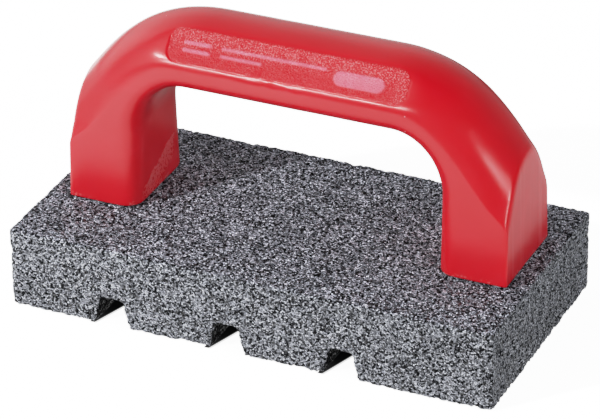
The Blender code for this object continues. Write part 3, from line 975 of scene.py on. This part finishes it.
def outward(grid):
    """Outward direction at each point of the grid, as one list."""
    around = np.roll(grid, -1, axis=1) - np.roll(grid, 1, axis=1)
    normal = np.cross(around, np.gradient(grid, axis=0)).reshape(-1, 3)
    normal /= np.maximum(np.linalg.norm(normal, axis=1, keepdims=True), 1e-9)
    crest = np.array([MID_X, MID_Y, TOP])
    probe = np.argmin(np.sum((grid.reshape(-1, 3) - crest) ** 2, axis=1))
    if normal[probe, 2] < 0:
        normal = -normal
    return normal


# ============================================================ the handle's panel
def rounded_box(u, v, half_u, half_v, radius):
    """Distance outside a rounded rectangle, negative inside."""
    out_u, out_v = np.abs(u) - (half_u - radius), np.abs(v) - (half_v - radius)
    return (
        np.hypot(np.maximum(out_u, 0), np.maximum(out_v, 0))
        + np.minimum(np.maximum(out_u, out_v), 0)
        - radius
    )


def cut_facet(points, normal):
    """A flat facet along the grip's front, with soft edges."""
    height = (points - PANEL_MID) @ PANEL_OUT
    front = (normal @ PANEL_OUT > 0.0) & (points[:, 1] < MID_Y + 4)
    change = np.where(front, soft_min(height, FACET, 0.9) - height, 0.0)
    return points + PANEL_OUT * change[:, None]


def ease_lip(grid, normal):
    """Round the lip between the facet and the front wall, and knock it a
    little near the middle. The lip runs along each ring's first point."""
    around = grid.shape[1]
    index = np.arange(around)
    steps = np.minimum(index, around - index)
    wall_step = 0.42
    distance = np.where(index < around / 2, steps * PANEL_FINE, steps * wall_step)
    near = np.exp(-((distance / 2.3) ** 2))
    on_grip = smoothstep(56.0, 44.0, np.abs(grid[:, 0, 0] - MID_X)) * (grid[:, 0, 2] > 60)
    weight = on_grip[:, None] * near[None, :]
    for _ in range(40):
        grid = grid + (average(grid, axis=1) - grid) * weight[:, :, None]
    points = grid.reshape(-1, 3)
    knocked = weight.ravel() * smoothstep(-22, -13, points[:, 0])
    knocked = knocked * smoothstep(11, 2, points[:, 0])
    knock = value_noise(points, 2.4, 95) * 0.09 + value_noise(points, 5.0, 96) * 0.09
    return points + normal * (knock * knocked)[:, None]


def sink_panel(points, normal):
    """Sink the panel into the facet and raise its marks. Also gives, for each point, how far it
    is on the panel, on a mark, and where the panel's painted sparkle highlight goes."""
    from_mid = points - PANEL_MID
    along, up, height = from_mid[:, 0], from_mid @ PANEL_UP, from_mid @ PANEL_OUT
    distance = rounded_box(along, up - 0.2, PANEL_L / 2, PANEL_H / 2, PANEL_R)
    front = (normal @ PANEL_OUT > 0.2) & (height > FACET - 1.5)
    # Shallower towards the panel's top, deeper at its left end.
    sink = PANEL_SINK * (1 - 0.62 * smoothstep(-1.0, 4.5, up))
    sink = sink + 0.16 * smoothstep(-33, -37, along)
    drop = np.clip(height - (FACET - sink), 0, sink * 1.2)
    mask = smoothstep(0.24, -0.10, distance) * front
    points = points - PANEL_OUT * (drop * mask)[:, None]
    inner = smoothstep(0.02, -0.55, distance) * front

    raised = np.zeros(len(points))
    for mid_along, mid_up, length, tall, corner in RAISED:
        off = rounded_box(along - mid_along, up - mid_up, length / 2, tall / 2, corner)
        raised = np.maximum(raised, smoothstep(0.16, -0.14, off))
    raised *= inner
    points = points + PANEL_OUT * (raised * 0.26)[:, None]
    # Where the painted sparkle highlight goes: most on the panel's upper half and its right end.
    painted_sparkle_mask = inner * np.maximum(
        0.25 + 0.75 * smoothstep(-2.5, 3.0, up), smoothstep(31.0, 35.0, along)
    )
    return points, inner, raised, painted_sparkle_mask


def roughen(points, normal, inner, raised):
    """Fine moulded grain on the panel, low ripples elsewhere."""
    grain = value_noise(points, 0.62, 91) * 0.6 + value_noise(points, 0.34, 92) * 0.4
    points = points + normal * (grain * 0.075 * inner * (1 - 0.5 * raised))[:, None]
    ripple = value_noise(points, 14.0, 93) * 0.05 + value_noise(points, 5.0, 94) * 0.015
    quiet = smoothstep(FOOT_Z + 0.5, FOOT_Z + 5, points[:, 2])
    change = ripple * (1 - inner) * quiet - 0.055 * (1 - inner)
    return points + normal * change[:, None]


# ============================================================ the handle's skin
def foot(outline, fix_x):
    """Rings from the socket's tip, down its wall and out over the foot's face
    to its soft edge; and the ring that takes the first section's place."""
    angle = np.arctan2(outline[:, 1] - MID_Y, outline[:, 0] - fix_x)
    circle = np.stack([np.cos(angle), np.sin(angle)], axis=1)
    top = FOOT_Z + SOCKET_DEPTH
    # (radius, height)
    profile = [(SOCKET_R * 0.35 * share, top) for share in (0.35, 0.7, 1.0)]
    profile.append((SOCKET_R * 0.7, top - 0.8))
    profile += [(SOCKET_R, z) for z in np.linspace(top - 1.6, FOOT_Z + 0.5, 14)]
    profile += [(SOCKET_R + 0.15, FOOT_Z + 0.15), (SOCKET_R + 0.5, FOOT_Z)]
    rings = [
        np.concatenate(
            [np.array([fix_x, MID_Y]) + circle * radius, np.full((len(angle), 1), z)], axis=1
        )
        for radius, z in profile
    ]
    rim = rings[-1]
    out = outline - np.array([outline[:, 0].mean(), MID_Y, FOOT_Z])
    out[:, 2] = 0
    out /= np.maximum(np.linalg.norm(out, axis=1, keepdims=True), 1e-9)
    face_edge = outline - out * 0.55
    face_edge[:, 2] = FOOT_Z
    for share in np.linspace(0, 1, 12)[1:]:
        rings.append(rim * (1 - share) + face_edge * share)
    half_way = outline - out * 0.16
    half_way[:, 2] = FOOT_Z + 0.16
    rings.append(half_way)
    first = outline.copy()
    first[:, 2] = FOOT_Z + 0.55
    return rings, first


def handle_uv(rings):
    """The skin unrolled: u along the sweep, v round the section. Follows the
    order of the faces: quads ring by ring, then the tips' triangles."""
    total, around, _ = rings.shape
    step = np.linalg.norm(np.diff(rings, axis=0), axis=2).max(axis=1)
    along = np.concatenate([[0], np.cumsum(step)])
    along /= along[-1]
    girth = np.linalg.norm(np.roll(rings, -1, axis=1) - rings, axis=2).max(axis=0)
    share = np.concatenate([[0], np.cumsum(girth)])
    share /= share[-1]
    uv = []
    for row in range(total - 1):
        near, far = along[row], along[row + 1]
        for column in range(around):
            low, high = share[column], share[column + 1]
            uv += [(near, low), (near, high), (far, high), (far, low)]
    for column in range(around):
        low = share[min(column, (column + 1) % around)]
        uv += [(0.0, low)] * 3 + [(1.0, low)] * 3
    return np.array(uv) * 0.996 + 0.002


def make_handle():
    grid = handle_grid()
    shape = grid.shape
    around = shape[1]
    normal = outward(grid)
    points = cut_facet(grid.reshape(-1, 3), normal)
    points = ease_lip(points.reshape(shape), normal)
    points, inner, raised, painted_sparkle_mask = sink_panel(points, normal)
    grid = roughen(points, normal, inner, raised).reshape(shape)

    right_foot, grid[0] = foot(grid[0], FIX_X)
    left_foot, grid[-1] = foot(grid[-1], -FIX_X)
    rings = np.array(right_foot + list(grid) + left_foot[::-1])
    total = len(rings)
    tip_z = FOOT_Z + SOCKET_DEPTH
    tips = [[FIX_X, MID_Y, tip_z], [-FIX_X, MID_Y, tip_z]]
    verts = np.concatenate([rings.reshape(-1, 3), tips])

    row = np.arange(total - 1)[:, None] * around
    column = np.arange(around)[None, :]
    beside = (column + 1) % around
    quads = np.stack(
        [row + column, row + beside, row + around + beside, row + around + column], axis=2
    )
    faces = quads.reshape(-1, 4).tolist()
    right_tip = total * around
    last = right_tip - around
    for n in range(around):
        after = (n + 1) % around
        faces.append([right_tip, after, n])
        faces.append([right_tip + 1, last + n, last + after])
    mesh = bpy.data.meshes.new("moulded_handle")
    mesh.from_pydata((verts * MM).tolist(), [], faces)
    mesh.update()

    feet = np.zeros(len(right_foot) * around)
    # The last of these says where the panel's painted sparkle highlight goes.
    for name, value in (("panel", inner), ("raised", raised), ("painted_sparkle_mask", painted_sparkle_mask)):
        store(mesh, name, "POINT", np.concatenate([feet, value, feet, [0, 0]]))
    store_uv(mesh, handle_uv(rings))
    obj = new_object("moulded_handle", mesh)
    mesh.shade_smooth()
    return obj


# ============================================================ fixings
def ring_mesh(name, loops, wrap=False):
    """Skin over a list of loops with the same number of points. The ends are
    capped, or joined to each other when wrap is set."""
    around = len(loops[0])
    total = len(loops)
    pairs = [(n, n + 1) for n in range(total - 1)]
    if wrap:
        pairs.append((total - 1, 0))
    faces = []
    for a, b in pairs:
        for j in range(around):
            k = (j + 1) % around
            faces.append([a * around + j, a * around + k, b * around + k, b * around + j])
    if not wrap:
        faces.append(list(range(around))[::-1])
        faces.append([(total - 1) * around + j for j in range(around)])
    mesh = bpy.data.meshes.new(name)
    mesh.from_pydata((np.concatenate(loops) * MM).tolist(), [], faces)
    mesh.update()
    bm = bmesh.new()
    bm.from_mesh(mesh)
    bmesh.ops.recalc_face_normals(bm, faces=bm.faces)
    bm.to_mesh(mesh)
    bm.free()
    obj = new_object(name, mesh)
    mesh.shade_smooth()
    mesh.set_sharp_from_angle(angle=math.radians(32))
    return obj


def loop(radius, z, x, around):
    """Level loop round a fixing's axis; radius is one number or one a point."""
    angle = np.linspace(0, 2 * math.pi, around, endpoint=False)
    radius = np.broadcast_to(radius, angle.shape)
    return np.stack(
        [x + radius * np.cos(angle), MID_Y + radius * np.sin(angle), np.full(around, z)],
        axis=1,
    )


def thread(z, around, root, crest):
    """Radii round one level of a right-hand thread."""
    turn = np.linspace(0, 1, around, endpoint=False)
    wave = np.abs(((z / PITCH - turn) % 1.0) - 0.5) * 2
    return root + (crest - root) * np.clip((wave - 0.12) / 0.74, 0, 1)


def recess_cutter(x, low, turn):
    """One tapering arm of the screw's cross recess."""
    bm = bmesh.new()
    rings = []
    # (height above the head's underside, half length, half thickness)
    for rise, wide, thick in (
        (-2.0, 5.1, 0.75), (0.0, 3.3, 0.75), (1.5, 2.45, 0.64), (2.2, 1.2, 0.5),
    ):
        corners = ((-wide, -thick), (wide, -thick), (wide, thick), (-wide, thick))
        rings.append([bm.verts.new((u * MM, v * MM, (low + rise) * MM)) for u, v in corners])
    for one, two in zip(rings, rings[1:]):
        for k in range(4):
            m = (k + 1) % 4
            bm.faces.new((one[k], one[m], two[m], two[k]))
    bm.faces.new(rings[0][::-1])
    bm.faces.new(rings[-1])
    bmesh.ops.recalc_face_normals(bm, faces=bm.faces)
    cutter = object_from(bm, "cut")
    cutter.location = (x * MM, MID_Y * MM, 0)
    cutter.rotation_euler = (0, 0, math.radians(turn))
    return cutter


def make_screw(x):
    """Domed head below with a cross recess, plain neck, thread, tapered tip."""
    low, around = SEAT - HEAD_H, 56
    profile = []  # (radius, height)
    for k in range(11):
        angle = math.pi / 2 * k / 10
        radius = HEAD_R - HEAD_DOME + HEAD_DOME * math.sin(angle)
        profile.append((radius, low + HEAD_DOME - HEAD_DOME * math.cos(angle)))
    profile += [
        (HEAD_R, SEAT - 0.25),
        (HEAD_R - 0.07, SEAT - 0.08),
        (HEAD_R - 0.25, SEAT),
        (SCREW_R + 0.3, SEAT),
        (SCREW_R + 0.09, SEAT + 0.09),
        (SCREW_R - 0.03, SEAT + 0.3),
    ]
    tip = SEAT + SCREW_L
    for z in np.arange(SEAT + 0.6, tip - 0.05, PITCH / 9):
        begun = smoothstep(SEAT + 1.0, SEAT + 2.4, z)
        taper = 1 - 0.28 * smoothstep(tip - 1.1, tip, z)
        radius = (SCREW_R - 0.03) * (1 - begun) + thread(z, around, 2.62, 3.155) * begun
        profile.append((np.minimum(radius, (SCREW_R - 0.02) * taper), z))
    profile.append((2.2, tip))
    screw = ring_mesh("screw", [loop(radius, z, x, around) for radius, z in profile])
    cutters = [recess_cutter(x, low, turn) for turn in (20, 110)]
    bpy.context.view_layer.update()
    cut_away(screw, cutters)
    return screw


def make_insert(x):
    """Knurled barrel with plain leads and a waist, threaded inside."""
    low, top, around = FOOT_Z, FOOT_Z + INSERT_H, 160
    turn = np.linspace(0, 1, around, endpoint=False)
    ridge = 4.35 + 0.35 * (1 - np.abs(((turn * 20) % 1.0) - 0.5) * 2) ** 0.8
    profile = [(4.02, low), (4.22, low + 0.12)]  # (radius, height)
    # (height above the bottom, how far the knurl stands out)
    for rise, amount in (
        (0.35, 0), (1.0, 0), (1.1, 0.35), (1.3, 1), (3.6, 1), (6.0, 1), (6.2, 0.35),
        (6.3, 0), (7.7, 0), (7.8, 0.35), (8.0, 1), (10.4, 1), (12.7, 1), (12.9, 0.35),
        (13.0, 0), (13.75, 0),
    ):
        profile.append((INSERT_R + (ridge - INSERT_R) * amount, low + rise))
    profile += [(4.15, top - 0.08), (4.0, top), (3.80, top)]
    for z in np.arange(top - 0.35, low + 0.4, -PITCH / 8):
        profile.append((thread(z, around, 3.47, 3.27), z))
    profile += [(3.62, low + 0.14), (3.85, low)]
    loops = [loop(radius, z, x, around) for radius, z in profile]
    return ring_mesh("insert", loops, wrap=True)


def rounded_section(inner, outer, low, high, soft):
    """Rounded rectangle as (radius, z) points."""
    steps = 4
    points = []
    for centre_r, centre_z, start in (
        (outer - soft, low + soft, -90),
        (outer - soft, high - soft, 0),
        (inner + soft, high - soft, 90),
        (inner + soft, low + soft, 180),
    ):
        for k in range(steps + 1):
            angle = math.radians(start + 90 * k / steps)
            points.append((centre_r + soft * math.cos(angle), centre_z + soft * math.sin(angle)))
    return points


def make_flat_washer(x):
    outline = rounded_section(
        inner=3.55, outer=7.15, low=FLAT_TOP - WASHER_T, high=FLAT_TOP, soft=0.2
    )
    return ring_mesh("flat_ring", [loop(radius, z, x, 96) for radius, z in outline], wrap=True)


def make_lock_washer(x):
    """Split spring washer: a square bar wound once, its cut ends apart."""
    thick, climb = 1.2, 0.3
    loops = []
    for k in range(97):
        share = k / 96
        angle = math.radians(4.5 + 351 * share + 200)
        low = SPLIT_LOW + climb * share
        outline = rounded_section(inner=3.5, outer=5.95, low=low, high=low + thick, soft=0.14)
        loops.append(
            np.array(
                [(x + r * math.cos(angle), MID_Y + r * math.sin(angle), z) for r, z in outline]
            )
        )
    return ring_mesh("spring_ring", loops)


# ============================================================ floor
# How far the floor, as the camera sees it, glows by itself
FLOOR_GLOW = 0.62


def floor_reflection(g, x, y):
    """What the gloss sees of the floor: brighter to the left, dim a hand's
    breadth in front of the brick, and dim behind it to the right."""
    across = g.fade(x, -0.35, 0.45)
    level = g.ramp(
        across,
        [(0.0, 1.0), (0.28, 1.0), (0.40, 0.72), (0.56, 0.45), (0.75, 0.31), (1.0, 0.19)],
    )
    slant = g.plus(y, g.times(g.math("MINIMUM", x, 0.0), -0.45))
    front = g.fade(slant, -0.24, -0.17)
    behind = g.fade(y, -0.06, 0.06, low=1.0, high=0.13)
    right = g.fade(x, -0.20, -0.05)
    level = g.mix(right, level, g.tint(level, behind))
    beside = g.fade(x, 0.055, 0.09)
    beyond = g.fade(y, 0.03, 0.11, low=0.20, high=0.31)
    near = g.fade(y, -0.03, 0.02)
    level = g.mix(g.times(beside, near), level, beyond)
    level = g.tint(level, g.fade(x, -0.50, -0.12, low=0.44, high=1.08))
    level = g.tint(level, g.fade(y, 0.15, 0.50, low=1.0, high=0.35))
    # A dimmer strip just in front of the brick.
    apron = g.fade(y, -0.125, -0.070, low=1.0, high=0.62)
    apron = g.math("MAXIMUM", apron, g.math("GREATER_THAN", y, -0.038))
    level = g.tint(level, apron)
    return g.mix(front, grey(0.14), level)


def flute_shadow(g, x, y):
    """Slanting shadow on the floor under each flute."""
    dark = 0.0
    for flute_x in FLUTE_X:
        left = (flute_x - FLUTE_MOUTH / 2) * MM
        line = g.times(g.minus(x, left), 3.1)
        past = g.minus(g.plus(y, HALF_W * MM), line)
        shade = g.fade(past, -0.001, 0.002)
        off = g.math("ABSOLUTE", g.minus(x, flute_x * MM))
        dark = g.plus(g.times(shade, g.math("LESS_THAN", off, 0.0072)), dark)
    within = g.math("LESS_THAN", g.math("ABSOLUTE", y), HALF_W * MM)
    return g.times(dark, within)


def make_floor():
    """Pale table top, with a look of its own for the gloss."""
    bm = bmesh.new()
    bmesh.ops.create_grid(bm, x_segments=2, y_segments=2, size=6.0)
    floor = object_from(bm, "floor")
    material, g, shader = new_material("floor")
    x, y, _ = g.axes(g.place())
    glow = g.add("Emission", {"Color": floor_reflection(g, x, y), "Strength": 2.6})
    ray = g.add("LightPath")
    shown = g.add("Emission", {"Color": grey(1.0), "Strength": 3.2})
    dark = flute_shadow(g, x, y)
    pale = (0.55, 0.55, 0.555, 1.0)
    g.fill(
        shader,
        {
            "Base Color": g.mix(g.times(dark, 0.9), pale, grey(0.0)),
            "Roughness": 0.9,
            "Specular IOR Level": 0.1,
        },
    )
    lit = g.mix_shader(g.times(g.minus(1.0, dark), FLOOR_GLOW), shader, shown)
    seen = g.mix_shader(ray.outputs["Is Camera Ray"], shader, lit)
    mirror = g.mix_shader(ray.outputs["Is Glossy Ray"], seen, glow)
    g.fill(g.find("OUTPUT_MATERIAL"), {0: mirror})
    floor.data.materials.append(material)


# ============================================================ light
# Strength of the world's soft light, and of what the gloss sees at full white
SKY = 0.85
MIRROR_LEVEL = 3.0
# Brightness the gloss sees by compass direction: (degrees from +X, level)
SCREENS = [
    (-180, 2.3), (-172, 0.80), (-158, 1.3), (-128, 2.7), (-118, 1.2), (-108, 0.36),
    (-75, 0.20), (-45, 0.14), (-15, 0.08), (15, 0.08), (45, 0.22), (75, 0.42),
    (100, 0.65), (125, 1.1), (148, 1.7), (165, 2.4), (180, 2.3),
]
# and its share by height: (upward part of the direction, share)
SCREEN_HEIGHT = [
    (0.0, 0.72), (0.16, 0.80), (0.34, 0.94), (0.50, 0.78), (0.64, 0.62),
    (0.77, 0.46), (0.87, 0.34), (0.94, 0.22), (1.0, 0.06),
]


def make_world():
    """A pale studio: bright to the left, dim overhead and to the right, so
    that the glossy arch keeps its deep red shoulder."""
    world = bpy.data.worlds.new("studio")
    bpy.context.scene.world = world
    world.use_nodes = True
    g = Graph(world)
    soft = g.find("BACKGROUND")
    x, y, z = g.axes(g.add("TexCoord").outputs["Generated"])
    turn = g.plus(g.math("DIVIDE", g.math("ARCTAN2", y, x), 2 * math.pi), 0.5)
    screens = g.ramp(turn, [((a + 180) / 360, v / MIRROR_LEVEL) for a, v in SCREENS])
    mirror = g.tint(screens, g.ramp(z, SCREEN_HEIGHT))
    bright = g.add("Background", {"Color": mirror, "Strength": MIRROR_LEVEL})
    # The soft light weakens towards the zenith, and a little to the right.
    above = g.math("MULTIPLY_ADD", g.times(z, z), -0.76, 1.0)
    sideways = g.math("MULTIPLY_ADD", x, -0.12, 1.0)
    above = g.times(above, sideways)
    g.fill(soft, {"Color": g.tint(above, (0.97, 0.99, 1.0, 1.0)), "Strength": SKY})
    plain = g.add("Background", {"Color": grey(1.0), "Strength": 3.0})
    ray = g.add("LightPath")
    unseen = g.mix_shader(ray.outputs["Is Glossy Ray"], soft, bright)
    world_shader = g.mix_shader(ray.outputs["Is Camera Ray"], unseen, plain)
    g.fill(g.find("OUTPUT_WORLD"), {0: world_shader})


def lamp(name, azimuth, elevation, distance, size, level, diffuse=True, glossy=True):
    """Round soft light aimed at the object, in degrees and metres. level is
    the light it gives a surface that faces it, over pi."""
    turn, rise = math.radians(azimuth), math.radians(elevation)
    way = Vector(
        (math.cos(turn) * math.cos(rise), math.sin(turn) * math.cos(rise), math.sin(rise))
    )
    target = Vector((0.0, 0.0, 0.045))
    data = bpy.data.lights.new(name, "AREA")
    data.shape = "DISK"
    data.size = size
    data.energy = level * math.pi * math.pi * distance * distance
    obj = new_object(name, data)
    obj.location = target + way * distance
    obj.rotation_euler = (-way).to_track_quat("-Z", "Y").to_euler()
    obj.visible_diffuse = diffuse
    obj.visible_glossy = glossy


def make_lamps():
    """Keys from the front left and kicks from the front right. Some show
    only in the gloss, and some light the object without showing in it."""
    lamp("key", azimuth=-128.0, elevation=29.0, distance=1.6, size=0.10, level=0.26)
    lamp(
        "strip", azimuth=-114.0, elevation=17.0, distance=1.6, size=0.46, level=0.42,
        diffuse=False,
    )
    lamp("kick", azimuth=-36.0, elevation=12.0, distance=1.2, size=0.055, level=0.040)
    lamp(
        "kick_wide", azimuth=-35.0, elevation=15.0, distance=1.2, size=0.42, level=0.10,
        diffuse=False,
    )
    lamp(
        "key_soft", azimuth=-128.0, elevation=29.0, distance=1.6, size=0.035, level=0.70,
        glossy=False,
    )
    lamp(
        "fill", azimuth=-30.0, elevation=22.0, distance=1.2, size=0.5, level=0.39,
        glossy=False,
    )


# ============================================================ camera
# Tone curve after its start at (0, 0): (scene level, shown level)
SHOULDER = [
    (0.2, 0.2), (0.40, 0.40), (0.55, 0.54), (0.70, 0.63),
    (0.90, 0.70), (1.20, 0.785), (1.70, 0.905), (2.2, 1.0),
]


def make_camera():
    """Long lens from the front right, looking down. The matrix's columns are
    the camera's right, up and backward directions, and its place."""
    data = bpy.data.cameras.new("camera")
    camera = new_object("camera", data)
    data.sensor_width = 36.0
    data.lens = 234.65
    data.clip_start = 0.01
    data.clip_end = 20.0
    camera.matrix_world = Matrix(
        (
            (0.91025951, -0.19214988, 0.36675067, 0.41984603),
            (0.41378924, 0.45289895, -0.78972211, -0.90395450),
            (-0.01435599, 0.87060954, 0.49176513, 0.59189082),
            (0.0, 0.0, 0.0, 1.0),
        )
    )
    bpy.context.scene.camera = camera


def set_view():
    """Plain view transform with a soft shoulder that holds back highlights."""
    view = bpy.context.scene.view_settings
    view.view_transform = "Standard"
    view.look = "None"
    view.use_curve_mapping = True
    mapping = view.curve_mapping
    mapping.clip_max_x = 4.0
    mapping.clip_max_y = 4.0
    mapping.use_clip = True
    mapping.extend = "HORIZONTAL"
    for curve in mapping.curves[:3]:
        curve.points[-1].location = SHOULDER[-1]
        for x, y in SHOULDER[:-1]:
            curve.points.new(x, y)
    mapping.update()


# ============================================================ build
GRIT = grit_material()
RED = red_material()
BRASS = metal_material(
    "brass", base=(0.78, 0.57, 0.24), dark=(0.52, 0.36, 0.15), rough_low=0.26, rough_high=0.42
)
ZINC = metal_material(
    "zinc_steel", base=(0.66, 0.67, 0.68), dark=(0.44, 0.45, 0.47),
    rough_low=0.26, rough_high=0.44,
)
SPRING = metal_material(
    "spring_steel", base=(0.35, 0.355, 0.365), dark=(0.16, 0.16, 0.17),
    rough_low=0.36, rough_high=0.55, marks=0.12,
)

piece(make_block(), "abrasive_brick", GRIT)
piece(make_handle(), "handle", RED)
for side, fix_x in (("left", -FIX_X), ("right", FIX_X)):
    for make, kind, slot, material in (
        (make_screw, "clamp_screw", "zinc_steel", ZINC),
        (make_flat_washer, "flat_washer", "zinc_steel", ZINC),
        (make_lock_washer, "lock_washer", "spring_steel", SPRING),
        (make_insert, "threaded_insert", "brass", BRASS),
    ):
        fixing = make(fix_x)
        fixing.name = f"fine_{kind}_{side}"
        piece(fixing, f"{kind}_{side}", material)

make_floor()
make_world()
make_lamps()
make_camera()
set_view()
bpy.context.view_layer.update()
